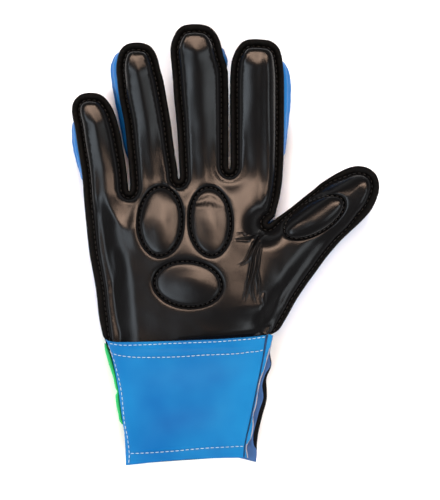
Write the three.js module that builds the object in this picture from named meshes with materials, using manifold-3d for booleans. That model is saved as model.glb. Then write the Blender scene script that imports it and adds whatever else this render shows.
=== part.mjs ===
// A padded goalkeeper glove for the right hand, lying on its back with the palm up.
// Lengths are millimetres. X runs towards the thumb, Y towards the fingertips and Z up, out of the palm.
// While it is drawn, the origin is the middle of the wrist seam; the last lines centre the glove on the
// surface that it lies on.
import * as THREE from 'three';
import Module from 'manifold-3d';

const wasm = await Module();
wasm.setup();

// Plan sizes
const handLength = 189;
const palmWidth = 117;
const wristWidth = 98;
const wristSlant = 3.9;
const cuffLength = 74;
const hemWidth = 71;
const hemShift = -1.8;
const hemSlant = 3.9;

// Heights and walls
const seamHeight = 17;
const palmPadding = 6.8;
const palmCrown = 2.2;
const palmLiningRise = 1.8;
const rimWidth = 3.8;
const rimThickness = 2.2;
const gussetHeight = 11;
const gussetWall = 2.8;
const gussetFlange = 1.4;
const backPadding = 3;
const cuffWall = 2.6;
const cuffCrown = 7.5;
const strapWidth = 49;
const strapThickness = 2;
const strapReach = 0.72;
const allowance = 3.3;
const flapReach = 9;
const clearance = 0.3;

// How the relaxed glove lifts off the surface
const fingerLift = 13;
const thumbLift = 9;
const knuckleLine = 0.505 * handLength;
const thumbLine = 0.52 * palmWidth;

// Ovals quilted into the palm
const padRise = 0.9;
const padSink = 2.2;
const padGroove = 1.3;
const creaseDepth = 1.8;

// One row for each finger. Places across are shares of palmWidth, places along are shares of handLength.
// half is half the width at the root, the middle and the tip, crown the length of the round tip, squareness
// the exponent of its curve, lean its sideways shift, and bulge how far the side wall shows past the rim.
const fingers = [
  { name: 'little', root: [-0.392, 0.379], tip: [-0.503, 0.788], bow: 0, half: [0.119, 0.115, 0.112],
    crown: 0.078, squareness: 2.3, lean: -0.009, bulgeLeft: 0.023, bulgeRight: 0 },
  { name: 'ring', root: [-0.155, 0.402], tip: [-0.268, 0.947], bow: 0.002, half: [0.127, 0.127, 0.117],
    crown: 0.083, squareness: 2.1, lean: 0, bulgeLeft: 0.029, bulgeRight: 0 },
  { name: 'middle', root: [0.097, 0.402], tip: [0.044, 1.001], bow: 0.001, half: [0.129, 0.13, 0.13],
    crown: 0.075, squareness: 2.4, lean: -0.008, bulgeLeft: 0, bulgeRight: 0.022 },
  { name: 'index', root: [0.318, 0.345], tip: [0.357, 0.956], bow: -0.012, half: [0.134, 0.139, 0.132],
    crown: 0.075, squareness: 2.4, lean: 0.004, bulgeLeft: 0, bulgeRight: 0.034 },
  { name: 'thumb', root: [0.36, 0.115], tip: [0.958, 0.527], bow: 0.05, half: [0.148, 0.153, 0.136],
    crown: 0.083, squareness: 2.1, lean: 0, bulgeLeft: 0, bulgeRight: 0 },
].map((f) => ({
  ...f,
  root: [f.root[0] * palmWidth, f.root[1] * handLength],
  tip: [f.tip[0] * palmWidth, f.tip[1] * handLength],
  bow: f.bow * palmWidth,
  half: f.half.map((h) => h * palmWidth),
  crown: f.crown * handLength,
  lean: f.lean * palmWidth,
  bulgeLeft: f.bulgeLeft * palmWidth,
  bulgeRight: f.bulgeRight * palmWidth,
}));

// The palm's outline past the wrist seam, anticlockwise from the thumb end of the seam. The knuckle points
// are the crotches between the fingers.
const palmOutline = [
  { x: 0.487, y: 0.064 }, { x: 0.513, y: 0.148 }, { x: 0.496, y: 0.265 }, { x: 0.452, y: 0.39 },
  { x: 0.215, y: 0.5 }, { x: -0.049, y: 0.5 }, { x: -0.295, y: 0.459 },
  { x: -0.531, y: 0.449 }, { x: -0.526, y: 0.386 }, { x: -0.51, y: 0.29 }, { x: -0.49, y: 0.227 },
  { x: -0.472, y: 0.163 }, { x: -0.462, y: 0.1 }, { x: -0.454, y: 0.062 }, { x: -0.433, y: 0.024 },
];

// The quilted ovals, as shares like the fingers, their length and width as shares of palmWidth. angle is the
// long axis in degrees from X.
const pads = [
  { name: 'palm_pad_ring', x: -0.147, y: 0.373, length: 0.316, width: 0.214, angle: 88 },
  { name: 'palm_pad_index', x: 0.116, y: 0.383, length: 0.316, width: 0.205, angle: 93 },
  { name: 'palm_pad_heel', x: 0.003, y: 0.176, length: 0.333, width: 0.226, angle: 176 },
  { name: 'thumb_pad', x: 0.667, y: 0.386, length: 0.325, width: 0.154, angle: 40 },
];

// Creases at the root of the thumb, each a narrow cut from one point to another.
const creases = [
  { from: [0.4, 0.355], to: [0.325, 0.3], width: 1.7 },
  { from: [0.4, 0.36], to: [0.255, 0.325], width: 1.2 },
  { from: [0.365, 0.335], to: [0.29, 0.235], width: 1.5 },
  { from: [0.36, 0.32], to: [0.325, 0.165], width: 1.3 },
  { from: [0.375, 0.3], to: [0.365, 0.15], width: 1.2 },
];

// The two loose edges on the thumb side of the cuff, from the wrist (0) to the hem (1), each as a share of
// flapReach: the facing's edge and the back's, and how far each lifts.
const flapRows = [
  { at: 0, facing: 0.38, back: 0.3, lift: 0 },
  { at: 0.08, facing: 0.48, back: 0.34, lift: 0.1 },
  { at: 0.17, facing: 0.76, back: 0.66, lift: 0.22 },
  { at: 0.25, facing: 0.42, back: 0.74, lift: 0.05 },
  { at: 0.34, facing: 0.4, back: 0.66, lift: -0.1 },
  { at: 0.44, facing: 0.7, back: 0.93, lift: 0.12 },
  { at: 0.55, facing: 0.76, back: 1, lift: 0.2 },
  { at: 0.67, facing: 0.66, back: 0.92, lift: 0.05 },
  { at: 0.8, facing: 0.46, back: 0.8, lift: -0.1 },
  { at: 0.88, facing: 0.68, back: 0.62, lift: 0.05 },
  { at: 1, facing: 0.74, back: 0.42, lift: 0.15 },
];

// Half-width of a finger at a share of its length, through its three table values.
function halfWidth(finger, share) {
  const [root, middle, tip] = finger.half;
  return root * (1 - share) * (1 - 2 * share) + middle * 4 * share * (1 - share) + tip * share * (2 * share - 1);
}

// A point beside a finger's curved axis, at a distance along it and across it.
function besideAxis(finger, along, across) {
  const chord = new THREE.Vector2(finger.tip[0] - finger.root[0], finger.tip[1] - finger.root[1]);
  const length = chord.length();
  const share = along / length;
  const forward = chord.divideScalar(length);
  const left = new THREE.Vector2(-forward.y, forward.x);
  const offset = 4 * finger.bow * share * (1 - share);
  const slope = (4 * finger.bow * (1 - 2 * share)) / length;
  const turned = new THREE.Vector2(left.x - slope * forward.x, left.y - slope * forward.y).normalize();
  return [
    finger.root[0] + forward.x * along + left.x * offset + turned.x * across,
    finger.root[1] + forward.y * along + left.y * offset + turned.y * across,
  ];
}

// Where the side wall of a finger shows past its rim: none at the root, most in the upper third.
function bulgeShape(share) {
  const u = THREE.MathUtils.clamp((share - 0.3) / 0.67, 0, 1);
  return Math.sin(Math.PI * u ** 1.5);
}

// A finger's outline, anticlockwise, drawn in from its rim by inset. bulge scales its side bulges.
const bodyShares = [0, 0.34, 0.66];
const crownSteps = 5;
function fingerOutline(finger, inset, bulge = 0) {
  const length = Math.hypot(finger.tip[0] - finger.root[0], finger.tip[1] - finger.root[1]) - inset;
  const crown = Math.max(finger.crown - inset, 1);
  const power = 2 / finger.squareness;
  const side = (sign) => {
    const spread = bulge * (sign > 0 ? finger.bulgeLeft : finger.bulgeRight);
    const straight = bodyShares.map((share) => {
      const reach = halfWidth(finger, share) - inset + spread * bulgeShape(share);
      return besideAxis(finger, share * length, sign * reach);
    });
    const round = [];
    for (let k = 0; k < crownSteps; k += 1) {
      const angle = (k / crownSteps) * (Math.PI / 2);
      const along = length - crown + crown * Math.sin(angle) ** power;
      const share = along / length;
      const reach = (halfWidth(finger, share) - inset + spread * bulgeShape(share)) * Math.cos(angle) ** power;
      round.push(besideAxis(finger, along, sign * reach + finger.lean * Math.sin(angle)));
    }
    return straight.concat(round);
  };
  return [...side(-1), besideAxis(finger, length, finger.lean), ...side(1).reverse()];
}

// Moves each edge of an anticlockwise polygon inwards by its own distance.
function insetPolygon(points, distances) {
  const edges = points.map((p, i) => {
    const q = points[(i + 1) % points.length];
    const length = Math.hypot(q[0] - p[0], q[1] - p[1]);
    const normal = [-(q[1] - p[1]) / length, (q[0] - p[0]) / length];
    return { normal, offset: normal[0] * p[0] + normal[1] * p[1] + distances[i] };
  });
  return points.map((p, i) => {
    const a = edges[(i + points.length - 1) % points.length];
    const b = edges[i];
    const cross = a.normal[0] * b.normal[1] - a.normal[1] * b.normal[0];
    if (Math.abs(cross) < 0.02) {
      return [p[0] + b.normal[0] * distances[i], p[1] + b.normal[1] * distances[i]];
    }
    return [
      (a.offset * b.normal[1] - b.offset * a.normal[1]) / cross,
      (b.offset * a.normal[0] - a.offset * b.normal[0]) / cross,
    ];
  });
}

// The palm's outline drawn in by inset. Its wrist edge moves by wristInset instead, outwards where negative.
function palmPolygon(inset, wristInset) {
  const sides = palmOutline.map((p) => [p.x * palmWidth, p.y * handLength]);
  const outline = [[wristWidth / 2, wristSlant], ...sides, [-wristWidth / 2, 0]];
  return insetPolygon(outline, outline.map((p, i) => (i < outline.length - 1 ? inset : wristInset)));
}

// How far the relaxed glove lifts: the fingers curl up past the knuckles, and the thumb past its root.
function lift(x, y) {
  const finger = Math.max(0, y - knuckleLine) / (handLength - knuckleLine);
  const thumb = Math.max(0, x - thumbLine) / (0.958 * palmWidth - thumbLine);
  return fingerLift * finger ** 2 + thumbLift * thumb ** 2;
}

// A closed solid from a list of triangles over shared points.
function solidFrom(vertices, triangles) {
  const geometry = new THREE.BufferGeometry();
  geometry.setAttribute('position', new THREE.Float32BufferAttribute(vertices.flat(), 3));
  geometry.setIndex(triangles.flat());
  const mesh = new wasm.Mesh({
    numProp: 3,
    vertProperties: new Float32Array(geometry.attributes.position.array),
    triVerts: new Uint32Array(geometry.index.array),
  });
  return new wasm.Manifold(mesh);
}

// A closed solid through a list of rings with the same number of points. Each end is closed by a ladder:
// the ring's first point is joined to its last, the second to the last but one, and so on.
function throughRings(rings) {
  const count = rings[0].length;
  const triangles = [];
  for (let r = 0; r + 1 < rings.length; r += 1) {
    for (let i = 0; i < count; i += 1) {
      const a = r * count + i;
      const b = r * count + ((i + 1) % count);
      triangles.push([a, b, b + count], [a, b + count, a + count]);
    }
  }
  const last = (rings.length - 1) * count;
  for (let i = 0; i < (count - 1) / 2; i += 1) {
    const j = count - 1 - i;
    const rungs = j - 1 > i + 1 ? [[i, i + 1, j], [i + 1, j - 1, j]] : [[i, i + 1, j]].filter(() => i + 1 < j);
    rungs.forEach(([a, b, c]) => triangles.push([c, b, a], [a + last, b + last, c + last]));
  }
  const made = solidFrom(rings.flat(), triangles);
  return made.volume() > 0 ? made : solidFrom(rings.flat(), triangles.map(([a, b, c]) => [a, c, b]));
}

// A piece of the whole hand: each level is a height over the palm seam and how far the outline is drawn in
// there. wristInset gives the inset of the open wrist end at a level.
function handSolid(levels, wristInset) {
  const raise = ([x, y], level) => [x, y, seamHeight + level.z + lift(x, y)];
  const whole = fingers.map((finger) =>
    throughRings(levels.map((level) => fingerOutline(finger, level.inset, level.bulge).map((p) => raise(p, level)))));
  const palmRings = levels.map((level) => palmPolygon(level.inset, wristInset(level)).map((p) => raise(p, level)));
  return whole.reduce((sum, finger) => sum.add(finger), throughRings(palmRings));
}

// The padding's height over the palm seam: even along the fingers, fuller over the heel of the hand.
function paddingHeight(x, y) {
  const across = (x - 0.02 * palmWidth) / (0.42 * palmWidth);
  const along = (y - 0.2 * handLength) / (0.24 * handLength);
  return palmPadding + palmCrown * Math.exp(-(across ** 2) - along ** 2);
}

// Everything under the padding's surface moved up by rise, over the whole hand.
const surfaceStep = 14;
function underSurface(rise) {
  const columns = Math.ceil((1.75 * palmWidth) / surfaceStep);
  const rows = Math.ceil((1.2 * handLength) / surfaceStep);
  const xAt = (i) => -0.7 * palmWidth + i * surfaceStep;
  const yAt = (j) => -0.1 * handLength + j * surfaceStep;
  const vertices = [];
  const triangles = [];
  for (let j = 0; j <= rows; j += 1) {
    for (let i = 0; i <= columns; i += 1) {
      const height = seamHeight + lift(xAt(i), yAt(j)) + paddingHeight(xAt(i), yAt(j)) + rise;
      vertices.push([xAt(i), yAt(j), height], [xAt(i), yAt(j), -seamHeight]);
    }
  }
  const at = (i, j, low) => 2 * (j * (columns + 1) + i) + low;
  for (let j = 0; j < rows; j += 1) {
    for (let i = 0; i < columns; i += 1) {
      triangles.push([at(i, j, 0), at(i + 1, j, 0), at(i + 1, j + 1, 0)]);
      triangles.push([at(i, j, 0), at(i + 1, j + 1, 0), at(i, j + 1, 0)]);
      triangles.push([at(i, j, 1), at(i + 1, j + 1, 1), at(i + 1, j, 1)]);
      triangles.push([at(i, j, 1), at(i, j + 1, 1), at(i + 1, j + 1, 1)]);
    }
  }
  const wall = (i, j, k, l) => {
    triangles.push([at(i, j, 0), at(i, j, 1), at(k, l, 1)], [at(i, j, 0), at(k, l, 1), at(k, l, 0)]);
  };
  for (let i = 0; i < columns; i += 1) {
    wall(i, 0, i + 1, 0);
    wall(i + 1, rows, i, rows);
  }
  for (let j = 0; j < rows; j += 1) {
    wall(columns, j, columns, j + 1);
    wall(0, j + 1, 0, j);
  }
  return solidFrom(vertices, triangles);
}

// The padded face of the palm, moved up by rise: its edge rolls down to the stitched groove.
function paddedFace(rise) {
  const roll = [
    { z: 0.5 * rimThickness, inset: rimWidth },
    { z: 0.6 * palmPadding, inset: rimWidth + 0.5 },
    { z: 0.88 * palmPadding, inset: rimWidth + 2.4 },
    { z: palmPadding, inset: rimWidth + 6 },
  ].map((level, i) => ({ z: level.z + (i > 0 ? rise : 0), inset: level.inset - 0.4 * rise }));
  const top = { z: palmPadding + palmCrown + rise, inset: rimWidth + 8.5 - 0.4 * rise };
  const raise = ([x, y], level) => [x, y, seamHeight + level.z + lift(x, y)];
  const palmRings = [...roll, top].map((level) =>
    palmPolygon(level.inset, Math.max(0, level.inset - rimWidth)).map((p) => raise(p, level)));
  const hand = handSolid(roll, (level) => Math.max(0, level.inset - rimWidth));
  return hand.add(throughRings(palmRings)).intersect(underSurface(rise));
}

// An upright oval column through the palm.
function ovalColumn(pad, grow) {
  const ring = [];
  const sides = 28;
  const turn = THREE.MathUtils.degToRad(pad.angle);
  for (let k = 0; k < sides; k += 1) {
    const angle = (2 * Math.PI * k) / sides;
    const u = ((pad.length * palmWidth) / 2 + grow) * Math.cos(angle);
    const v = ((pad.width * palmWidth) / 2 + grow) * Math.sin(angle);
    ring.push([
      pad.x * palmWidth + u * Math.cos(turn) - v * Math.sin(turn),
      pad.y * handLength + u * Math.sin(turn) + v * Math.cos(turn),
    ]);
  }
  const low = seamHeight + palmPadding - 1.8 * padSink;
  const high = seamHeight + palmPadding + palmCrown + 2 * padRise;
  return throughRings([low, high].map((z) => ring.map(([x, y]) => [x, y, z + lift(x, y)])));
}

// A narrow diamond-shaped cut along a crease.
function creaseColumn(crease) {
  const start = new THREE.Vector2(crease.from[0] * palmWidth, crease.from[1] * handLength);
  const end = new THREE.Vector2(crease.to[0] * palmWidth, crease.to[1] * handLength);
  const middle = start.clone().lerp(end, 0.3);
  const forward = end.clone().sub(start).normalize();
  const side = new THREE.Vector2(-forward.y, forward.x).multiplyScalar(crease.width / 2);
  const right = middle.clone().sub(side);
  const left = middle.clone().add(side);
  const ring = [start, right, end, left].map((p) => [p.x, p.y]);
  const low = seamHeight + palmPadding - 2 * creaseDepth;
  const high = seamHeight + 2 * (palmPadding + palmCrown);
  return throughRings([low, high].map((z) => ring.map(([x, y]) => [x, y, z])));
}

// The hollow for the hand and fingers, open at the wrist.
const openWrist = () => -20;
const gussetFoot = -(gussetHeight + clearance);
const backFace = -seamHeight;
const hollowFloor = backFace + backPadding;
const hollow = handSolid([
  { z: hollowFloor, inset: gussetWall + 3.4, bulge: 0.7 },
  { z: 0.6 * gussetFoot, inset: gussetWall + 1.6, bulge: 1 },
  { z: palmLiningRise, inset: gussetWall + rimWidth, bulge: 0.1 },
], openWrist);

// The palm: its rim and its padded face, hollowed to the lining, with recesses for the ovals
const flushWrist = () => 0;
const rimEdge = 0.5;
const rimAt = (drop) => handSolid([
  { z: -drop, inset: rimEdge },
  { z: 0.5 * rimThickness - drop, inset: 0 },
  { z: rimThickness - drop, inset: rimEdge },
], flushWrist);
const sunken = paddedFace(-padSink);
const creased = paddedFace(-creaseDepth);
const cuts = pads.map((pad) => ovalColumn(pad, padGroove).subtract(sunken))
  .concat(creases.map((crease) => creaseColumn(crease).subtract(creased)));
const palmPanel = cuts.reduce((palm, cut) => palm.subtract(cut), rimAt(0).add(paddedFace(0))).subtract(hollow);

// The ovals
const padSeat = paddedFace(clearance - padSink);
const padFace = paddedFace(padRise);
const padSolids = pads.map((pad) => ovalColumn(pad, 0).intersect(padFace).subtract(padSeat));

// The side walls: a flange under the palm's rim over a wall that bulges, as one band round the hand
const flangeTop = -clearance;
const bandAt = (drop) => handSolid([
  { z: -gussetHeight - drop, inset: 1.8, bulge: 0.85 },
  { z: -0.6 * gussetHeight - drop, inset: 1.3, bulge: 1 },
  { z: flangeTop - gussetFlange - drop, inset: 3, bulge: 0.3 },
  { z: flangeTop - 0.6 * gussetFlange - drop, inset: 0.4 },
  { z: flangeTop - drop, inset: rimEdge },
], flushWrist);
const band = bandAt(0).subtract(rimAt(clearance)).subtract(hollow);

// A thin upright cut across the band at a fingertip, so that each gap between fingers has its own strip
function tipCut(finger) {
  const length = Math.hypot(finger.tip[0] - finger.root[0], finger.tip[1] - finger.root[1]);
  const across = clearance / 2;
  const near = length - 2.5 * (gussetWall + rimWidth);
  const far = length + rimWidth;
  const ring = [
    besideAxis(finger, near, finger.lean - across), besideAxis(finger, far, finger.lean - across),
    besideAxis(finger, far, finger.lean + across), besideAxis(finger, near, finger.lean + across),
  ];
  const high = seamHeight + fingerLift + thumbLift;
  return throughRings([-seamHeight, high].map((z) => ring.map(([x, y]) => [x, y, z])));
}
const strips = fingers.reduce((rest, finger) => rest.subtract(tipCut(finger)), band).decompose();

// Each strip is named for the fingers on its two sides, by where its middle lies from little finger to thumb.
const stripNames = ['gusset_little_outer', 'gusset_little_ring', 'gusset_ring_middle',
  'gusset_middle_index', 'gusset_index_thumb', 'gusset_thumb_outer'];
const middleOf = (solid) => {
  const box = solid.boundingBox();
  return (box.min[0] + box.max[0]) / 2 - (box.min[1] + box.max[1]) * 0.05;
};
const orderedStrips = strips.sort((a, b) => middleOf(a) - middleOf(b));

// The back, rounded at its sides and flat where it rests
const back = handSolid([
  { z: backFace, inset: 6.5 },
  { z: backFace + 1.3, inset: 3.4, bulge: 0.4 },
  { z: gussetFoot, inset: 1.8, bulge: 0.85 },
], flushWrist).subtract(bandAt(clearance)).subtract(hollow);

// The cuff is a flattened tube. share runs from the wrist (0) to the hem (1).
const cuffFloor = strapThickness + clearance;
function cuffEnds(share) {
  const width = THREE.MathUtils.lerp(wristWidth, hemWidth, share);
  const middle = hemShift * share;
  const slant = THREE.MathUtils.lerp(wristSlant, hemSlant, share);
  const y = -clearance - (cuffLength - clearance) * share;
  return { left: middle - width / 2, right: middle + width / 2, yLeft: y, slant };
}

// A point of the cuff's section at an angle from its thumb side (0) round over the palm side (180 degrees)
// and back under the wrist, moved out by offset.
const sectionPower = 2 / 2.5;
function cuffPoint(share, angle, offset) {
  const ends = cuffEnds(share);
  const half = (ends.right - ends.left) / 2 + offset;
  const rise = cuffCrown + offset;
  const drop = seamHeight - cuffFloor + offset;
  const c = Math.cos(angle);
  const s = Math.sin(angle);
  const x = (ends.left + ends.right) / 2 + half * Math.sign(c) * Math.abs(c) ** sectionPower;
  const z = seamHeight + (s > 0 ? rise : drop) * Math.sign(s) * Math.abs(s) ** sectionPower;
  const y = ends.yLeft + (ends.slant * (x - ends.left)) / (ends.right - ends.left);
  return [x, y, z];
}

// A strip of the cuff's wall from one angle to another, between two offsets, as rings along the cuff. edge
// gives further points past the last angle, for a seam allowance on the thumb side.
function cuffStrip(shares, fromAngle, toAngle, inner, outer, steps, edge = () => []) {
  const angles = Array.from({ length: steps + 1 }, (_, k) => THREE.MathUtils.lerp(fromAngle, toAngle, k / steps));
  return throughRings(shares.map((share) => [
    ...angles.map((angle) => cuffPoint(share, angle, outer)),
    ...edge(share),
    ...angles.map((angle) => cuffPoint(share, angle, inner)).reverse(),
  ]));
}

// The front of the cuff, with its seam allowance turned out on the thumb side
const cuffShares = flapRows.map((row) => row.at);
const rightOf = (share) => cuffEnds(share).right;
const seamY = (share, x) => {
  const ends = cuffEnds(share);
  return ends.yLeft + (ends.slant * (x - ends.left)) / (ends.right - ends.left);
};
const layer = gussetFlange;
const edgePoint = (share, reach, z) => {
  const x = rightOf(share) + reach;
  return [x, seamY(share, x), z];
};
const frontFoot = seamHeight + clearance / 2;
const quarter = Math.PI / 2;
const seamAngle = 0.16;
const cuffFront = cuffStrip(cuffShares, Math.PI - 0.02, seamAngle, -cuffWall, 0, 12, (share) => [
  edgePoint(share, allowance, frontFoot + layer),
  edgePoint(share, allowance, frontFoot),
  edgePoint(share, -cuffWall, frontFoot),
]);

// The facing under that allowance and the back's own edge under the facing, both loose and wavy past a kink
const kink = 0.25 * flapReach;
const waviness = 0.5;
function flap(row, reach, low) {
  const wave = row.lift * waviness * (reach - kink);
  return [
    edgePoint(row.at, -cuffWall, low),
    edgePoint(row.at, kink, low),
    edgePoint(row.at, reach, low + wave),
    edgePoint(row.at, reach, low + wave + layer),
    edgePoint(row.at, kink, low + layer),
    edgePoint(row.at, -cuffWall, low + layer),
  ];
}
const facingLow = frontFoot - clearance - layer;
const backEdgeLow = facingLow - clearance - layer;
const facingAt = (drop) => throughRings(flapRows.map((row) => flap(row, row.facing * flapReach, facingLow - drop)));
const cuffFacing = facingAt(0);
const backFlap = throughRings(flapRows.map((row) => flap(row, row.back * flapReach, backEdgeLow)));
const underAngle = (z) => Math.asin(((seamHeight - z) / (seamHeight - cuffFloor)) ** (1 / sectionPower));
const cuffBack = cuffStrip(cuffShares, Math.PI + 0.03, 2 * Math.PI - underAngle(backEdgeLow + layer),
  -cuffWall, 0, 13).add(backFlap).subtract(facingAt(clearance));

// The wrist strap, sewn in on the little finger's side and lapped across the back of the wrist
const strapStart = 0.03;
const strapShares = [0, 0.12, 0.25, 0.4, 0.52, 0.6, 0.72, 0.86, 1]
  .map((share) => strapStart + (share * strapWidth) / cuffLength);
const strapEnd = Math.PI + Math.acos(1 - 2 * strapReach);
const wristStrap = cuffStrip(strapShares, Math.PI + 0.05, strapEnd, clearance, clearance + strapThickness, 10);

// Turns a solid into a named mesh.
function meshOf(name, solid, material) {
  const made = solid.getMesh();
  const geometry = new THREE.BufferGeometry();
  geometry.setAttribute('position', new THREE.BufferAttribute(made.vertProperties, 3));
  geometry.setIndex(new THREE.BufferAttribute(made.triVerts, 1));
  geometry.computeVertexNormals();
  const mesh = new THREE.Mesh(geometry, material);
  mesh.name = name;
  return mesh;
}

const blackPalm = new THREE.MeshStandardMaterial({ color: 0x1d1d1f, roughness: 0.38, metalness: 0 });
const blueSide = new THREE.MeshStandardMaterial({ color: 0x1560b0, roughness: 0.42, metalness: 0 });
const blueCuff = new THREE.MeshStandardMaterial({ color: 0x1f82cc, roughness: 0.38, metalness: 0 });
const greyBlueFacing = new THREE.MeshStandardMaterial({ color: 0x5b86b8, roughness: 0.85, metalness: 0 });
const blackKnit = new THREE.MeshStandardMaterial({ color: 0x121214, roughness: 0.9, metalness: 0 });
const greenStrap = new THREE.MeshStandardMaterial({ color: 0x2fd36b, roughness: 0.5, metalness: 0 });

const glove = new THREE.Group();
glove.add(meshOf('palm_panel', palmPanel, blackPalm));
padSolids.forEach((solid, i) => glove.add(meshOf(pads[i].name, solid, blackPalm)));
orderedStrips.forEach((solid, i) => glove.add(meshOf(stripNames[i], solid, blueSide)));
glove.add(meshOf('back_panel', back, blueSide));
glove.add(meshOf('cuff_front', cuffFront, blueCuff));
glove.add(meshOf('cuff_facing', cuffFacing, greyBlueFacing));
glove.add(meshOf('cuff_back', cuffBack, blackKnit));
glove.add(meshOf('wrist_strap', wristStrap, greenStrap));

// Centre the glove over the origin, resting at height 0.
const bounds = new THREE.Box3().setFromObject(glove);
const centre = bounds.getCenter(new THREE.Vector3());
glove.position.set(-centre.x, -centre.y, -bounds.min.z);

export default glove;
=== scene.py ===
"""A padded goalkeeper glove, palm up on a pale surface.

Lengths are millimetres of the row frame: +X to the thumb, +Y to the fingertips, +Z up. The palm is a height
over the plan: the seam's height, plus padding by the distance to the outline, less grooves and creases. The
rim, the side strips and the back are profiles carried along the outline. The cuff and the strap are grids over
an angle round the wrist and a share along it."""

import math

import bmesh
import bpy
import numpy as np
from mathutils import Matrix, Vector
from mathutils.geometry import delaunay_2d_cdt


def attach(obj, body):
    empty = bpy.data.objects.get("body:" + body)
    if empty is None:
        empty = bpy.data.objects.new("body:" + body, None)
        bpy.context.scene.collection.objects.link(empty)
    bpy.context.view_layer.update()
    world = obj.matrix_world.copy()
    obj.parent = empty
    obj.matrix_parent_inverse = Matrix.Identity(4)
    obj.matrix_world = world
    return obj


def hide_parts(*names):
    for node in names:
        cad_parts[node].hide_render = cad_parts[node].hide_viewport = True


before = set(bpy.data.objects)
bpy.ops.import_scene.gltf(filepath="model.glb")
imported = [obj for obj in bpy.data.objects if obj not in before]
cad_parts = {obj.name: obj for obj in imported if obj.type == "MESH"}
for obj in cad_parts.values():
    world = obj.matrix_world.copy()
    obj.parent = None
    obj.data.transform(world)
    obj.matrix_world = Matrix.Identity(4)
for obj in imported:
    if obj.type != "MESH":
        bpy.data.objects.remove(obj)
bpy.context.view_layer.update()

MM = 0.001      # a millimetre in metres
SEAM = 17.0     # the rim's seam over the floor, at the palm
PADDING = 6.6   # the padding's full height over the seam

# Tables
# The rim's outline, anticlockwise from the thumb end of the wrist to its other end, in stretches.
OUTLINE = {
    "thumb_side": [(28.2, -53.5), (32.1, -51), (36, -45), (39.6, -38.7), (42.9, -32.7), (46.8, -26.7),
     (51, -20.7), (55.4, -14.7), (59.7, -8.7), (64.5, -2.7), (69.9, 3.3), (76.2, 9.3), (82.2, 15),
     (87.3, 21), (90.5, 27.3), (92.2, 33.3), (92, 38.1), (90.2, 42.7), (86.7, 45.9), (82.2, 47.5),
     (78, 47.6), (73.5, 46.5), (67.5, 43.6), (61.8, 40.2), (57, 36.9), (52.8, 33.3), (48, 29.6),
     (42.6, 25.2), (37.2, 21), (32.6, 17.7), (28.6, 14.9), (26.4, 13.3)],
    "index_right": [(25.8, 13.3), (27, 14.9), (29.9, 17.6), (31.1, 21.9), (32.5, 27.3), (33.6, 33.3),
     (34.4, 39.3), (34.9, 46.5), (35.3, 57.3), (35.5, 69.3), (35.5, 81.3), (35.5, 92.1), (35.3, 101.7),
     (34.8, 107.7), (34, 113.1), (32.8, 117), (30.3, 120.4), (26.4, 122.6), (22.2, 123.2), (17.4, 123.4)],
    "index_left": [(13.2, 123), (10.1, 121.5), (7.6, 118.7), (5.8, 115.5), (4.2, 111.3), (3.4, 106.5),
     (3, 99.3), (3, 87.3), (3.1, 75.3), (3.2, 63.3), (3.3, 52.5), (3.2, 47)],
    "middle_right": [(2.7, 46.2), (2.2, 47), (2.1, 52.5), (2.1, 63.3), (2.1, 75.3), (2.1, 87.3), (2, 96.9),
     (1.6, 104.7), (0.4, 109.8), (-1.1, 114.3), (-2, 118.5), (-3.2, 122.7), (-5, 126.3), (-7.5, 129.3),
     (-10.8, 131.2), (-15, 132.1)],
    "middle_left": [(-21, 132.1), (-25.2, 131.2), (-28.2, 129), (-30.3, 125.7), (-31.8, 122.1),
     (-32.6, 117.9), (-32.5, 112.5), (-31.9, 106.5), (-31.3, 99.3), (-30.8, 92.1), (-30.2, 84.9),
     (-29.4, 77.7), (-28.8, 70.5), (-28.4, 63.3), (-28, 56.1), (-27.6, 48.9), (-27.3, 44.1), (-27.3, 40.6)],
    "ring_right": [(-27.8, 39.8), (-28.3, 40.6), (-28.5, 44.1), (-29.2, 49.5), (-30.2, 55.5), (-31.2, 62.7),
     (-32, 69.9), (-33.1, 77.1), (-34.2, 83.7), (-35.1, 89.1), (-36.1, 94.5), (-37.3, 100.5),
     (-38.8, 105.6), (-39.8, 110.1), (-40.9, 113.7), (-42.6, 116.9), (-44.8, 119.3), (-48.6, 121),
     (-52.8, 121.4)],
    "ring_left": [(-57, 121), (-60.1, 119.6), (-62.5, 117.1), (-64, 113.7), (-64.9, 109.5), (-65.2, 104.7),
     (-64.7, 99.3), (-64.1, 93.3), (-63.2, 87.3), (-62, 81.3), (-60.8, 75.3), (-59.8, 68.1), (-59, 60.3),
     (-58.2, 52.5), (-57.4, 44.1), (-57, 37.5), (-57.1, 33.6)],
    "little_right": [(-57.6, 32.8), (-58.1, 33.6), (-58.4, 37.5), (-59, 44.1), (-60, 51.3), (-61.3, 58.5),
     (-62.5, 65.7), (-64, 72.3), (-65.5, 77.4), (-67.3, 81.9), (-69.4, 85.5), (-72, 88.6), (-75.3, 90.8),
     (-79.5, 91.6)],
    "palm_side": [(-83.7, 91.4), (-87, 90.3), (-89.6, 88.1), (-91.3, 85.2), (-91.9, 81.3), (-91.5, 77.1),
     (-90.6, 72.9), (-89.8, 68.7), (-89.2, 63.9), (-88.4, 58.5), (-87.4, 52.5), (-86.4, 46.5),
     (-85.7, 40.5), (-85.2, 34.5), (-84.8, 28.5), (-84.2, 21.3), (-83.6, 15.3), (-83, 9.3), (-82.4, 3.3),
     (-81.7, -2.7), (-80.8, -8.7), (-79.6, -14.7), (-78.5, -20.7), (-77.5, -26.7), (-76.8, -32.7),
     (-76.2, -38.7), (-75.4, -44.7), (-74.3, -50.1), (-73.3, -54)],
}
WRIST = [(-73.4, -54), (-72.4, -55.7), (-70.7, -56.9), (-68.5, -57.6), (-64, -58), (-56.2, -57.9),
         (-34.4, -57.3), (-5.3, -56.1), (16.6, -54.6), (24.5, -53.7), (28.3, -53.3)]
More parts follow.
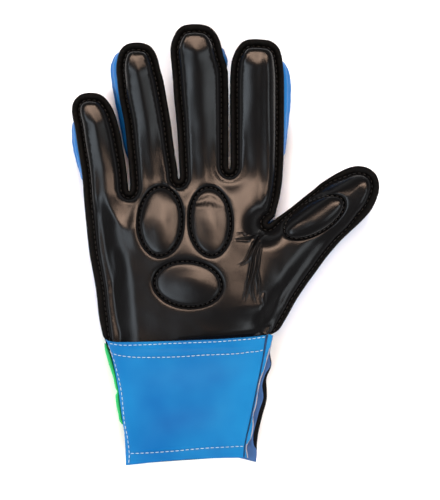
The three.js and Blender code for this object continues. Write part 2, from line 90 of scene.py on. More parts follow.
# How far the blue side wall shows past the rim: per stretch, heights along Y and the reach there.
BULGES = {
    "palm_side": ([36, 42, 49, 56, 62, 69, 73.5, 76], [0, 1.3, 2.3, 3, 3.2, 2.5, 1.4, 0]),
    "ring_left": ([46, 53, 60, 73, 87, 99, 107, 113, 117], [0, 0.7, 2, 2.8, 3.1, 3.5, 3.7, 2.4, 0]),
    "middle_right": ([105, 108, 112, 116, 120.5], [0, 1, 1.7, 1.6, 0]),
    "index_right": ([48, 58, 66, 74, 84, 96, 102, 107, 112], [0, 1.3, 2, 2.8, 4.1, 4.3, 3.9, 2.4, 0]),
}
# The quilted ovals: centre, half length, half width, angle of the long axis in degrees
OVALS = {
    "palm_pad_ring": (-38.7, 14.6, 20.4, 12.7, 88),
    "palm_pad_index": (-8.8, 14.6, 20.2, 12, 93),
    "palm_pad_heel": (-22.2, -23, 20, 13.4, 175),
    "thumb_pad": (53.4, 17, 19.8, 9.5, 30),
}
# Creases at the root of the thumb and on the heel of the hand: depth, half width and the line
CREASES = [
    (2.2, 0.75, [(27.5, 12.4), (23.6, 8.6), (20.4, 5), (18.6, 2.4), (16.8, -1.4)]),
    (1, 0.45, [(22.5, 7.4), (19.1, 6.6), (16.2, 5.2), (13.4, 4), (10.6, 4.1), (5.9, 3.4)]),
    (0.35, 0.35, [(15, 5.6), (12.4, 6), (10.8, 7.3), (6.5, 7.1)]),
    (1.4, 0.42, [(20.6, 4.6), (19.1, 2.8), (16.8, -0.9), (14.6, -5.8), (12.2, -9.2), (8.2, -11.6)]),
    (1.7, 0.46, [(20.4, 2.6), (18.8, -2.2), (17.2, -6.2), (16.6, -10.8), (15.4, -17.7), (13.9, -23.6),
     (11.2, -33)]),
    (1.2, 0.36, [(21.4, 0.2), (20.2, -5.4), (19, -12.1), (17.6, -17.2), (16.2, -22.2), (16.1, -27.4),
     (18.2, -35)]),
    (0.9, 0.34, [(19.6, -10.6), (18.9, -14.6), (19.6, -20), (20.2, -25.4), (19.6, -31)]),
    (0.5, 0.28, [(15.4, -18.4), (13.4, -21.6), (12.8, -25)]),
    (-0.30, 0.50, [(23.2, -29), (22.6, -32), (23.8, -36)]),
    (0.50, 1.5, [(-17, 25.6), (-9, 27.2), (-0.5, 23)]),
    (0.35, 2.4, [(-66.5, -4), (-65, -16), (-67.5, -29)]),
    (0.3, 3.5, [(-57, 22), (-60, 8), (-57, -4)]),
]
# The cuff's edges on the palm side: (x, y) down the little finger's side and down the thumb's side
CUFF_LEFT = [(-72.9, -54.3), (-71.7, -58.5), (-69.3, -63.9), (-67.6, -68.7), (-65.7, -77.4), (-63.9, -87.9),
     (-62.5, -99.3), (-60.6, -112), (-60, -120), (-59.6, -132)]
CUFF_RIGHT = [(25.6, -53.1), (24.3, -60), (22.6, -68.7), (18.9, -87), (15.4, -104), (12, -119.5),
     (11.2, -127.4)]
RAW_EDGE = [(28.7, -54), (27.4, -60), (25.4, -67.2), (23, -75.3), (21, -81), (19.8, -86.7), (18.6, -95.3),
     (16.6, -102.8), (16.9, -107.4), (15.5, -115.4), (12.9, -120.4), (13.6, -127.5)]
FACING_EDGE = [(28.8, -54.3), (27.9, -59.7), (26.7, -66.9), (27.4, -71.8), (24.4, -77), (22.4, -83.7),
     (23, -91.5), (20.7, -98.7), (19, -105.3), (16.9, -114.5), (17.5, -120.3), (19, -122.7), (18.8, -130.2)]
BACK_EDGE = [(27.8, -54.6), (27, -63.9), (27.9, -71.7), (25, -79.9), (25.2, -87.3), (25, -93.1),
     (22.8, -101.1), (20.1, -112.5), (19.2, -119.3), (19.1, -123.3), (17.4, -129.3)]
STRAP_EDGE = [(-72.5, -58.8), (-72.1, -62.7), (-70.8, -67.5), (-69.5, -72.3), (-67.8, -77.1), (-66.6, -81.9),
     (-65.9, -85.5), (-64.9, -87.9), (-65.8, -90.3), (-65.2, -96.3), (-64.2, -101.1), (-63.4, -105.3),
     (-61.9, -107.4)]


# Curves and meshes
def smooth(t):
    """A soft step: 3 t squared less 2 t cubed, with t held between 0 and 1."""
    t = np.clip(t, 0.0, 1.0)
    return t * t * (3 - 2 * t)


PER = 24        # points that a curve gets between two of its own


def spline(points):
    """A centripetal curve through the points: blends of blends, timed by the square roots of the gaps."""
    p = np.asarray(points, float)
    p = np.vstack([2 * p[0] - p[1], p, 2 * p[-1] - p[-2]])
    out = []
    for i in range(1, len(p) - 2):
        level = list(p[i - 1:i + 3])
        gaps = [max(math.sqrt(np.linalg.norm(b - a)), 1e-6) for a, b in zip(level[:-1], level[1:])]
        t = np.cumsum([0.0] + gaps)
        u = np.linspace(t[1], t[2], PER, endpoint=False)[:, None]
        for gap in (1, 2):
            way = [(u - t[k]) / (t[k + gap] - t[k]) for k in range(4 - gap)]
            level = [(1 - w) * a + w * b for w, a, b in zip(way, level[:-1], level[1:])]
        w = (u - t[1]) / (t[2] - t[1])
        out.append((1 - w) * level[0] + w * level[1])
    out.append(p[-2][None])
    return np.vstack(out)


def arc_lengths(p):
    """The sum of the steps up to each point of a polyline."""
    return np.concatenate([[0.0], np.cumsum(np.linalg.norm(np.diff(p, axis=0), axis=1))])


def resample(p, count=None, step=None, turn=0.0):
    """Even points along a polyline, closer together where it turns."""
    s = arc_lengths(p)
    if turn:
        t = np.diff(p, axis=0)
        heading = np.unwrap(np.arctan2(t[:, 1], t[:, 0]))
        bend = np.concatenate([[0.0], np.abs(np.diff(heading)), [0.0]])
        s_eff = s + turn * np.cumsum(bend)
    else:
        s_eff = s
    n = count or int(s_eff[-1] / step) + 1
    at = np.linspace(0, s_eff[-1], n)
    return np.stack([np.interp(at, s_eff, p[:, k]) for k in range(p.shape[1])], axis=1)


def inward(p):
    """Unit normals to the left of the way along an open polyline."""
    t = np.gradient(p, axis=0)
    t /= np.linalg.norm(t, axis=1)[:, None]
    n = np.stack([-t[:, 1], t[:, 0]], axis=1)
    for _ in range(2):
        n[1:-1] = 0.25 * n[:-2] + 0.5 * n[1:-1] + 0.25 * n[2:]
        n /= np.linalg.norm(n, axis=1)[:, None]
    return n


def distance(points, line, closed=False):
    """Distance from each point to a polyline."""
    a = line if not closed else np.vstack([line, line[:1]])
    d = np.diff(a, axis=0)
    dd = (d ** 2).sum(1) + 1e-12
    out = np.empty(len(points))
    for i in range(0, len(points), 4000):
        q = points[i:i + 4000, None, :] - a[None, :-1, :]
        t = np.clip((q * d).sum(2) / dd, 0, 1)
        out[i:i + 4000] = np.sqrt(((q - t[..., None] * d) ** 2).sum(2).min(1))
    return out


def inside(points, ring):
    """Whether each point lies within a closed ring."""
    a, b = ring, np.roll(ring, -1, axis=0)
    out = np.empty(len(points), bool)
    for i in range(0, len(points), 4000):
        x, y = points[i:i + 4000, 0:1], points[i:i + 4000, 1:2]
        over = (a[:, 1] > y) != (b[:, 1] > y)
        with np.errstate(divide="ignore", invalid="ignore"):
            cross = a[:, 0] + (y - a[:, 1]) * (b[:, 0] - a[:, 0]) / (b[:, 1] - a[:, 1])
        out[i:i + 4000] = (over & (x < cross)).sum(1) % 2 == 1
    return out


# How the fingers and the thumb rise off the floor: where the rise starts, over what length, how high
FINGER_LIFT = (37.8, 93.6, 13.0)
THUMB_LIFT = (38.4, 51.2, 9.0)


def seam_height(x, y):
    """The seam's height: level at the palm, plus one square along the fingers and one along the thumb."""
    (y0, long, high), (x0, wide, top) = FINGER_LIFT, THUMB_LIFT
    return SEAM + (high * (np.maximum(0, y - y0) / long) ** 2 + top * (np.maximum(0, x - x0) / wide) ** 2)


def placed(name, data):
    """A new object in the scene, at the origin."""
    obj = bpy.data.objects.new(name, data)
    bpy.context.scene.collection.objects.link(obj)
    return obj


def mesh_object(name, verts, quads=(), tris=(), ngons=(), materials=()):
    """A mesh from millimetre points and index arrays."""
    mesh = bpy.data.meshes.new(name)
    parts = [np.asarray(f, int).reshape(-1, k) for f, k in ((quads, 4), (tris, 3)) if len(f)]
    loops = np.concatenate([f.ravel() for f in parts] + [np.asarray(g, int) for g in ngons])
    sizes = np.concatenate([np.full(len(f), f.shape[1]) for f in parts] + [np.array([len(g) for g in ngons], int)])
    starts = np.concatenate([[0], np.cumsum(sizes)[:-1]]).astype(int)
    mesh.vertices.add(len(verts))
    mesh.vertices.foreach_set("co", (np.asarray(verts) * MM).astype(np.float32).ravel())
    mesh.loops.add(len(loops))
    mesh.loops.foreach_set("vertex_index", loops.astype(np.int32))
    mesh.polygons.add(len(sizes))
    mesh.polygons.foreach_set("loop_start", starts.astype(np.int32))
    mesh.update(calc_edges=True)
    mesh.polygons.foreach_set("use_smooth", np.full(len(sizes), True))
    for m in materials:
        mesh.materials.append(m)
    mesh.validate()
    return placed(name, mesh)


def grid_quads(rows, columns, offset=0, wrap=False):
    """Faces between each grid point, the next in its row and the two above; a wrapped row closes."""
    r = np.arange(rows - 1)[:, None] * columns
    c = np.arange(columns if wrap else columns - 1)[None, :]
    n = (c + 1) % columns
    q = np.stack([r + c, r + n, r + columns + n, r + columns + c], axis=-1)
    return q.reshape(-1, 4) + offset


def slab(name, outer, inner, skin):
    """A closed wall between two grids of the same shape: both grids, and a strip of faces round their edges."""
    rows, columns, _ = outer.shape
    n = rows * columns
    verts = np.vstack([outer.reshape(-1, 3), inner.reshape(-1, 3)])
    front = grid_quads(rows, columns)
    back = grid_quads(rows, columns, n)[:, ::-1]
    idx = np.arange(n).reshape(rows, columns)
    edge = np.concatenate([idx[0, :], idx[1:, -1], idx[-1, -2::-1], idx[-2:0:-1, 0]])
    nxt = np.roll(edge, -1)
    sides = np.stack([edge, edge + n, nxt + n, nxt], axis=1)
    return mesh_object(name, verts, quads=np.vstack([front, back, sides]), materials=[skin])


def carried(part, profile):
    """Points x rows x 3: pairs of inset along the outline's normal and height over the seam, at each of its
    points."""
    xy = line[part, None, :] + normal[part, None, :] * profile[..., 0:1]
    return np.concatenate([xy, (seam_height(xy[..., 0], xy[..., 1]) + profile[..., 1])[..., None]], axis=2)


def recalc(obj):
    """Point the faces outwards."""
    bm = bmesh.new()
    bm.from_mesh(obj.data)
    bmesh.ops.recalc_face_normals(bm, faces=bm.faces)
    bm.to_mesh(obj.data)
    bm.free()
    return obj


# Materials
def material(name, colour, dark, rough, rough_spread, grain, grain_depth, wrinkle=0.0, wrinkle_size=60.0,
             mottle=35.0, specular=0.5):
    """Two shades mixed by a soft noise, uneven roughness, a fine grain and a wrinkle."""
    m = bpy.data.materials.new(name)
    m.use_nodes = True
    nt = m.node_tree
    node, link = nt.nodes.new, nt.links.new
    bsdf = nt.nodes["Principled BSDF"]
    bsdf.inputs["Specular IOR Level"].default_value = specular
    coords = node("ShaderNodeTexCoord")

    def noise(scale, detail, rough_part):
        n = node("ShaderNodeTexNoise")
        n.inputs["Scale"].default_value = scale
        n.inputs["Detail"].default_value = detail
        n.inputs["Roughness"].default_value = rough_part
        link(coords.outputs["Object"], n.inputs["Vector"])
        return n

    broad = noise(mottle, 3.0, 0.55)
    mix = node("ShaderNodeMix")
    mix.data_type = "RGBA"
    mix.inputs["A"].default_value = (*dark, 1)
    mix.inputs["B"].default_value = (*colour, 1)
    link(broad.outputs["Fac"], mix.inputs["Factor"])
    link(mix.outputs["Result"], bsdf.inputs["Base Color"])
    ramp = node("ShaderNodeMapRange")
    ramp.inputs["To Min"].default_value = rough - rough_spread
    ramp.inputs["To Max"].default_value = rough + rough_spread
    link(noise(mottle * 2.3, 2.0, 0.5).outputs["Fac"], ramp.inputs["Value"])
    link(ramp.outputs["Result"], bsdf.inputs["Roughness"])

    def relief(depth, source, below=None):
        b = node("ShaderNodeBump")
        b.inputs["Strength"].default_value = 1.0
        b.inputs["Distance"].default_value = depth
        link(source.outputs["Fac"], b.inputs["Height"])
        if below:
            link(below.outputs["Normal"], b.inputs["Normal"])
        return b

    bump = relief(grain_depth, noise(grain, 4.0, 0.6))
    if wrinkle:
        bump = relief(wrinkle, noise(wrinkle_size, 2.0, 0.5), bump)
    link(bump.outputs["Normal"], bsdf.inputs["Normal"])
    return m


# Light shade, dark shade, roughness and its spread, the grain's scale and its depth in metres
black = material("black_palm_skin", (0.004, 0.0038, 0.004), (0.0028, 0.0028, 0.003), 0.2, 0.025, 1500,
                 0.00002, wrinkle=0.0003, wrinkle_size=40, mottle=28, specular=0.28)
rim_black = material("black_rim_skin", (0.0034, 0.003, 0.0027), (0.001, 0.001, 0.001), 0.56, 0.08, 900,
                     0.00010, wrinkle=0.0006, wrinkle_size=260, mottle=120, specular=0.08)
side_blue = material("blue_side_skin", (0.006, 0.120, 0.31), (0.0, 0.050, 0.21), 0.42, 0.05, 1500, 0.00004,
                     wrinkle=0.0005, wrinkle_size=70, specular=0.3)
# The cuff's own blue with painted sheen: its lighter and darker shades, mixed in broad patches, stand in for the
# soft reflections, and its gloss is kept low
cuff_blue_painted_sheen = material("blue_cuff_skin", (0.014, 0.190, 0.39), (0.0, 0.034, 0.18), 0.36, 0.05, 1600, 0.00003,
                     wrinkle=0.0007, wrinkle_size=24, mottle=17, specular=0.05)
facing_cloth = material("grey_blue_facing", (0.034, 0.087, 0.21), (0.020, 0.055, 0.15), 0.85, 0.05, 1200,
                        0.00012)
knit = material("black_knit", (0.0035, 0.0035, 0.004), (0.0015, 0.0015, 0.002), 0.9, 0.05, 900, 0.0002,
                specular=0.2)
green_web = material("green_webbing", (0.014, 0.38, 0.10), (0.008, 0.30, 0.08), 0.6, 0.06, 900, 0.00015)
white_thread = material("white_thread", (0.36, 0.42, 0.48), (0.25, 0.31, 0.37), 0.7, 0.05, 3000, 0.00003)
grey_thread = material("dark_thread", (0.012, 0.011, 0.010), (0.006, 0.006, 0.006), 0.45, 0.05, 3000, 0.00003)
raw_cloth = material("raw_edge_cloth", (0.26, 0.24, 0.27), (0.15, 0.15, 0.18), 0.9, 0.04, 1500, 0.0001)

# The outline
names = list(OUTLINE)
control = np.vstack([np.asarray(OUTLINE[n], float) for n in names])
marks = np.repeat(np.arange(len(names)), [len(OUTLINE[n]) for n in names])
dense = spline(control)
dense_mark = np.concatenate([np.repeat(marks[:-1], PER), marks[-1:]]).astype(float)
marked = resample(np.column_stack([dense, dense_mark]), step=0.85, turn=3.6)
line, stretch = marked[:, :2], np.rint(marked[:, 2]).astype(int)
normal = inward(line)
along = arc_lengths(line)
wrist = resample(spline(WRIST), step=1.4)

cuff_left = spline(CUFF_LEFT)
cuff_right = spline(CUFF_RIGHT)
CUFF_RISE, CUFF_DROP = 7.2, 14.4    # how far the cuff stands over its seam, and hangs under it


def cuff_top(x):
    """The cuff's height at the wrist: (1 - x to the power 2.6) to the power 1 / 2.2, x being 1 at its edges."""
    left, right = cuff_left[0, 0], cuff_right[0, 0]
    xi = np.clip(np.abs(x - (left + right) / 2) / ((right - left) / 2), 0, 1)
    return CUFF_RISE * (1 - xi ** 2.6) ** (1 / 2.2)


def oval_distance(x, y, oval):
    """Roughly how far outside an oval a point lies: its radius times (rho - 1) / rho, rho its share of it."""
    cx, cy, a, b, degrees = oval
    t = math.radians(degrees)
    u = (x - cx) * math.cos(t) + (y - cy) * math.sin(t)
    v = -(x - cx) * math.sin(t) + (y - cy) * math.cos(t)
    rho = np.hypot(u / a, v / b) + 1e-9
    return (rho - 1) * np.hypot(u, v) / np.maximum(rho, 0.3)


# Both sides of the thumb, where the rim turns away: how much narrower it is, and within what distance
THIN_SIDES = [[(37.0, 19.5), (47.0, 28.0), (60.0, 37.5)],
              [(36.0, -45.0), (46.8, -26.7), (59.7, -8.7), (74.0, 7.0)]]
THINNER, THIN_REACH = 2.0, 15


def thin_rim(x, y):
    """How much narrower the rim is: a soft step down from the thumb's sides with the distance from them."""
    at = np.stack([np.ravel(x), np.ravel(y)], axis=1)
    away = np.minimum(*[distance(at, np.array(side)) for side in THIN_SIDES]).reshape(np.shape(x))
    return THINNER * smooth(1 - away / THIN_REACH)


# Each finger's droop to its tip: from x, to x, the tip's y, how far in the droop starts, its slope
TIPS = [(-95, -62.5, 91.6, 21.0, 0.20), (-66, -34, 121.4, 20.0, 0.221), (-33, 2.5, 132.0, 19.0, 0.246),
        (2.5, 37, 123.3, 18.0, 0.245)]
LEAN = 0.035        # each finger's slope across, down to the thumb's side
EASE_IN = 6         # the length over which a droop comes in
PLUMP = 2.2         # how much thicker the fingers are than the hand
THINNEST = 4.6      # the most that the padding loses at a tip
PAD_EDGE = 4.4      # where the padding starts, in from the outline
SHOULDER, FINGER_SHOULDER = 3.4, 2.5    # the steep part's width round the hand and on the fingers
DOME, SIDE_DOME = 13, 22                # the dome's width, and at the little finger's side of the hand


def padding(x, y, d):
    """A quarter circle for the shoulder and a parabola for the dome, over the distance in from the edge, mixed
    by the shoulder's share. Towards each fingertip the padding thins along a slope."""
    finger = smooth((y - 14) / 18) * smooth((40 - x) / 6)
    shoulder = SHOULDER + (FINGER_SHOULDER - SHOULDER) * finger
    steep = np.sqrt(np.maximum(1 - (1 - np.clip((d - PAD_EDGE) / shoulder, 0, 1)) ** 2, 0))
    reach = DOME + (SIDE_DOME - DOME) * smooth((-38 - x) / 25) * (1 - finger)
    dome = np.maximum(1 - (1 - np.clip((d - PAD_EDGE) / reach, 0, 1)) ** 2, 0)
    share = 0.24 + 0.52 * finger + 0.36 * smooth((x - 62) / 20)
    thin = -PLUMP * smooth((y - 42) / 55) * smooth((38 - x) / 6)
    for low, high, tip, start, slope in TIPS:
        past = np.maximum(y - tip + start, 0) * (x > low) * (x < high)
        u = np.minimum(past / EASE_IN, 1)
        thin += slope * (EASE_IN * (u ** 3 - u ** 4 / 2) + np.maximum(past - EASE_IN, 0))
        thin += LEAN * (x - (low + high) / 2) * smooth((y - 46) / 20) * (x > low) * (x < high)
        share = share + 0.18 * smooth(past / 9)
    return (PADDING - np.minimum(thin, THINNEST)) * (share * steep + (1 - share) * dome)


def crease_relief(p):
    """Depth of all creases: across each line a bell curve less 0.28 of a wider one beside it for the lip, along
    it half a sine wave."""
    total = np.zeros(len(p))
    for depth, width, points in CREASES:
        path = resample(spline(points), 60)
        t = np.sin(np.pi * np.clip(np.linspace(0.16, 1.0, 60), 0, 1)) ** 0.7
        reach = 6 * width + 1
        near = ((p > path.min(0) - reach) & (p < path.max(0) + reach)).all(1)
        if not near.any():
            continue
        q = p[near]
        gap = np.linalg.norm(q[:, None, :] - path[None], axis=2)
        at = gap.argmin(1)
        c, fade = gap[np.arange(len(q)), at], t[at]
        w = width * (0.45 + 0.55 * fade)
        total[near] += depth * fade * (np.exp(-(c / w) ** 2) - 0.28 * np.exp(-((c - 2.6 * w) / (1.5 * w)) ** 2))
    return total


# The hand under the padding: the crown in its middle, the fall to the little finger's side, the bend at the
# fingers' roots, the step down to the thumb and the slope of the thumb's root
CROWN, FALL, BEND, THUMB_STEP, THUMB_SLOPE = 2.0, 2.3, 1.3, 1.2, 0.12
TUCKED_LOW = 2.0    # the lowest that the palm goes under the cuff, over the seam


def palm_height(x, y, d):
    """The palm's height over the seam, without the ovals' grooves: the padding, plus a bell curve for the crown,
    less the fall, the bend and the step, plus the thumb's slope and slow sine waves, less the creases. At the
    wrist it dives under the cuff."""
    flat = smooth((d - 5) / 6)
    crown = CROWN * np.exp(-((x + 8) / 46) ** 2 - ((y + 12) / 44) ** 2)
    fall = FALL * smooth((-(x + 18) * 0.75 - (y + 8) * 0.55) / 52)
    bend = BEND * np.exp(-(np.sqrt((y - 39) ** 2 + 9) - 3) / 22) * smooth((36 - x) / 12)
    bend = bend * smooth((x + 60) / 20)
    step = THUMB_STEP * smooth((x - 20.3) / 13) * smooth((15 - y) / 14) * smooth((y + 60) / 30)
    roll = np.clip((22 - x) * 0.564 + (y + 25) * 0.826, -26, 26) * smooth((x - 20) / 15)
    roll = THUMB_SLOPE * roll * (1 - smooth((x - 60) / 22)) * smooth((y + 58) / 30)
    uneven = (0.16 * np.sin(x * 0.11 + 1.7 * np.sin(y * 0.045)) * np.sin(y * 0.083 + 0.8)
              + 0.05 * np.sin(x * 0.27 + y * 0.14) * np.sin(y * 0.19 - x * 0.08))
    h = padding(x, y, d) + flat * (crown + uneven - fall - bend - step + roll)
    h = h - flat * crease_relief(np.column_stack([x.ravel(), y.ravel()])).reshape(x.shape)
    up = y - np.interp(x, wrist[:, 0], wrist[:, 1])
    ease = smooth(d / 7)
    near = smooth((up + 0.5) / 20)
    under_cuff = np.maximum(cuff_top(x) - 0.4 - 1.5 * np.exp(-(np.maximum(up, 0) / 2.4) ** 2),
                            TUCKED_LOW + 0.12 * np.clip(27 - x, 0, 8))
    tucked = np.minimum(h, under_cuff)
    return np.where(ease > 0, h * near + (1 - near) * (h * (1 - ease) + tucked * ease), h)


def groove(e):
    """How deep the palm sinks outside an oval's seam: a steep bell curve for the slit, a wide one for its lips."""
    return 2.3 * np.exp(-(np.maximum(e, 0) / 0.85) ** 1.6) + 0.35 * np.exp(-(np.maximum(e, 0) / 2.6) ** 2)


def palm_surface(x, y, d):
    """The palm's height over the seam, less each oval's groove."""
    h = palm_height(x, y, d)
    for oval in OVALS.values():
        h = h - groove(oval_distance(x, y, oval))
    return h


# The palm
RING = 7.0          # the ring's distance in from the outline
TUCK = 1.2          # how far the palm goes on under the cuff
PITCH = 3.1         # from stitch to stitch along the rim
pinch = 0.5 - 0.5 * np.cos(2 * np.pi * along / PITCH)
soft_wave = 0.12 * np.sin(along * 0.9 + 2 * np.sin(along * 0.13)) + 0.1 * np.sin(along * 0.37)


# Across the rim band: distance in from the edge, and height over the seam or None for the palm's own. Rows 4 to
# 14 are the groove and the rim, 6 to 10 its pinched top
BAND = [(RING, None), (6.0, None), (5.3, None), (4.85, None), (4.55, 0.75), (4.3, 0.45), (3.95, 0.9), (3.55, 1.6),
        (2.9, 2.15), (1.9, 2.4), (1.0, 2.3), (0.4, 1.95), (0.08, 1.4), (0.0, 0.8), (0.1, 0.3), (0.45, 0.02),
        (2.5, 0.0), (4.6, 0.1), (5.8, 0.7), (RING, 1.8)]
SEAM_INSET = 4.55


def rim_band():
    """Rim, groove and first roll of the palm, from the ring down round the rim's edge to the lining: the band's
    places on the plan, points x rows x 2, and its heights over the seam."""
    slim = thin_rim(*(line + normal * 3).T)[:, None]
    inset = np.array([k for k, _ in BAND])[None, :]
    outer = inset * (1 - slim / SEAM_INSET)
    inner = RING - (RING - inset) * (RING - SEAM_INSET + slim) / (RING - SEAM_INSET)
    inset = np.where(inset <= SEAM_INSET, outer, inner)
    inset[:, 10:15] += (0.12 * soft_wave)[:, None]
    xy = line[:, None, :] + normal[:, None, :] * inset[..., None]
    for end, far in ((0, along), (-1, along[-1] - along)):
        weight = smooth(1 - far / 11)[:, None]
        past = TUCK * smooth((cuff_top(xy[end, :, 0]) - 2) / 3)
        drop = np.interp(xy[end, :, 0], wrist[:, 0], wrist[:, 1]) - past - xy[end, :, 1]
        xy[..., 1] += weight * drop[None, :]
    height = np.tile(np.array([0.0 if h is None else h for _, h in BAND]), (len(line), 1))
    x, y = xy[:, :4, 0], xy[:, :4, 1]
    height[:, :4] = palm_surface(x, y, inset[:, :4] + thin_rim(x, y))
    swell = np.array([h is not None and h > 0.5 and k < 15 for k, (_, h) in enumerate(BAND)])
    pinched = np.array([5 < k < 11 for k in range(len(BAND))])
    height += swell * (0.8 * soft_wave[:, None] + pinched * (0.32 * pinch - 0.16)[:, None])
    near = 1 - smooth(np.minimum(along, along[-1] - along) / 8)
    height[:, 4:15] *= (1 - 0.30 * near)[:, None]
    return xy, height


band_xy, band_height = rim_band()
ring_line = band_xy[:, 0]


def triangulate(points, chains):
    """Delaunay triangles over the points; chains are index arrays whose steps stay edges."""
    edges = [(int(a), int(b)) for c in chains for a, b in zip(c[:-1], c[1:])]
    got = delaunay_2d_cdt([Vector(p) for p in points.tolist()], edges, [], 0, 1e-5, True)
    source = np.array([o[0] if len(o) else -1 for o in got[3]])
    faces = np.array([list(f) for f in got[2]])
    return source[faces]


def hex_points(ring, step, low, high):
    """The points of a triangle pattern with the given step that lie in the ring."""
    xs = np.arange(low[0], high[0], step)
    ys = np.arange(low[1], high[1], step * 0.866)
    gx, gy = np.meshgrid(xs, ys)
    gx = gx + (np.arange(len(ys)) % 2)[:, None] * step / 2
    p = np.stack([gx.ravel(), gy.ravel()], axis=1)
    return p[inside(p, ring)]


def filled(ring, step, holes=(), fine=(), margin=0.75):
    """Points and triangles that fill a ring, leaving the holes open. The ring comes first in the points."""
    low, high = ring.min(0), ring.max(0)
    p = hex_points(ring, step, low, high)
    for patch, small in fine:
        p = p[~inside(p, patch)]
        q = hex_points(patch, small, patch.min(0), patch.max(0))
        p = np.vstack([p, q[inside(q, ring)]])
    p = p[distance(p, ring, closed=True) > margin]
    for h in holes:
        p = p[~inside(p, h)]
        p = p[distance(p, h, closed=True) > 0.5]
    points = np.vstack([ring, *holes, p])
    chains, start = [], 0
    for c in (ring, *holes):
        i = np.arange(start, start + len(c))
        chains.append(np.append(i, i[0]))
        start += len(c)
    tris = triangulate(points, chains)
    tris = tris[(tris >= 0).all(1)]
    centre = points[tris].mean(1)
    keep = inside(centre, ring)
    for h in holes:
        keep &= ~inside(centre, h)
    tris = tris[keep]
    a, b, c = (points[tris[:, k]] for k in range(3))
    area = (b[:, 0] - a[:, 0]) * (c[:, 1] - a[:, 1]) - (b[:, 1] - a[:, 1]) * (c[:, 0] - a[:, 0])
    tris[area < 0] = tris[area < 0][:, ::-1]
    return points, tris


def oval_ring(oval, e, count=96):
    """An oval e larger than the table's: its half axes times a cosine and a sine, turned by its angle."""
    cx, cy, a, b, degrees = oval
    t = math.radians(degrees)
    w = np.linspace(0, 2 * np.pi, count, endpoint=False)
    u, v = (a + e) * np.cos(w), (b + e) * np.sin(w)
    return np.stack([cx + u * math.cos(t) - v * math.sin(t), cy + u * math.sin(t) + v * math.cos(t)], axis=1)


def plan_distance(p):
    """Distance in from the edge, counted as if the rim were as wide everywhere."""
    return distance(p, line) + thin_rim(p[:, 0], p[:, 1])


def over_palm(p, h):
    """Points of the plan, set at the palm's height there plus h."""
    x, y = p.T
    return np.column_stack([p, seam_height(x, y) + palm_height(x, y, plan_distance(p)) + h])


def wrist_between():
    """The wrist's line between the two ends of the ring."""
    return wrist[(wrist[:, 0] > ring_line[-1, 0] + 0.8) & (wrist[:, 0] < ring_line[0, 0] - 0.8)]


def palm():
    """Top skin, lining, rim band, groove bands and the wrist wall as one closed mesh."""
    ring = np.vstack([ring_line, wrist_between() - np.array([0, TUCK])])
    count = 96
    cut = [o for name, o in OVALS.items() if name != "thumb_pad"]
    holes = [oval_ring(o, 2.6, count) for o in cut]
    creased = np.array([(6, -42), (26, -42), (26, 12), (6, 12)], float)
    fine = [(creased, 0.42), (oval_ring(OVALS["thumb_pad"], 3.5, 60), 0.55)]
    points, tris = filled(ring, 1.35, holes, fine)
    d = plan_distance(points)
    d[:len(ring_line)] = RING + thin_rim(*ring_line.T)
    x, y = points[:, 0], points[:, 1]
    base = seam_height(x, y)
    top = np.column_stack([points, base + palm_surface(x, y, d)])
    lining = np.column_stack([points, base + 1.8])
    n = len(points)
    rows = len(BAND)
    z = seam_height(band_xy[..., 0], band_xy[..., 1]) + band_height
    swept = np.concatenate([band_xy, z[..., None]], axis=2)
    middle = swept[:, 1:-1]
    m = rows - 2
    index = np.empty((len(line), rows), int)
    index[:, 1:-1] = 2 * n + np.arange(len(line) * m).reshape(len(line), m)
    index[:, 0] = np.arange(len(line))
    index[:, -1] = n + np.arange(len(line))
    quads = np.stack([index[:-1, :-1], index[1:, :-1], index[1:, 1:], index[:-1, 1:]], axis=-1)
    quads = [quads.reshape(-1, 4)[:, ::-1]]
    verts = [top, lining, middle.reshape(-1, 3)]
    edge = np.concatenate([[len(line) - 1], np.arange(len(line), len(ring)), [0]])
    quads.append(np.stack([edge[:-1], edge[:-1] + n, edge[1:] + n, edge[1:]], axis=1))
    start, used = len(ring), 2 * n + len(line) * m
    for oval in cut:
        steps = [1.9, 1.35, 0.9, 0.5, 0.15, -0.2, -0.5]
        loops = [np.arange(start, start + count)]
        for e in steps:
            verts.append(over_palm(oval_ring(oval, e), -(groove(e) if e >= 0 else 2.65)))
            loops.append(np.arange(used, used + count))
            used += count
        loops.append(np.arange(n + start, n + start + count))
        for a, b in zip(loops[:-1], loops[1:]):
            quads.append(np.stack([a, np.roll(a, -1), np.roll(b, -1), b], axis=1))
        start += count
    caps = [index[0], index[-1][::-1]]
    obj = mesh_object("palm_skin", np.vstack(verts), quads=np.vstack(quads),
                      tris=np.vstack([tris, (tris + n)[:, ::-1]]), ngons=caps, materials=[black, rim_black])
    slots = np.zeros(len(obj.data.polygons), np.int32)
    across = np.tile(np.arange(rows - 1), len(line) - 1)
    slots[:len(across)] = (across >= 3) & (across <= 18)
    obj.data.polygons.foreach_set("material_index", slots)
    return recalc(obj)


def ride(obj, nodes):
    """Give a piece its body and hide the nodes that it replaces."""
    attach(obj, "root")
    if nodes:
        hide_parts(*nodes)
    return obj


palm_skin = ride(palm(), ["palm_panel"])


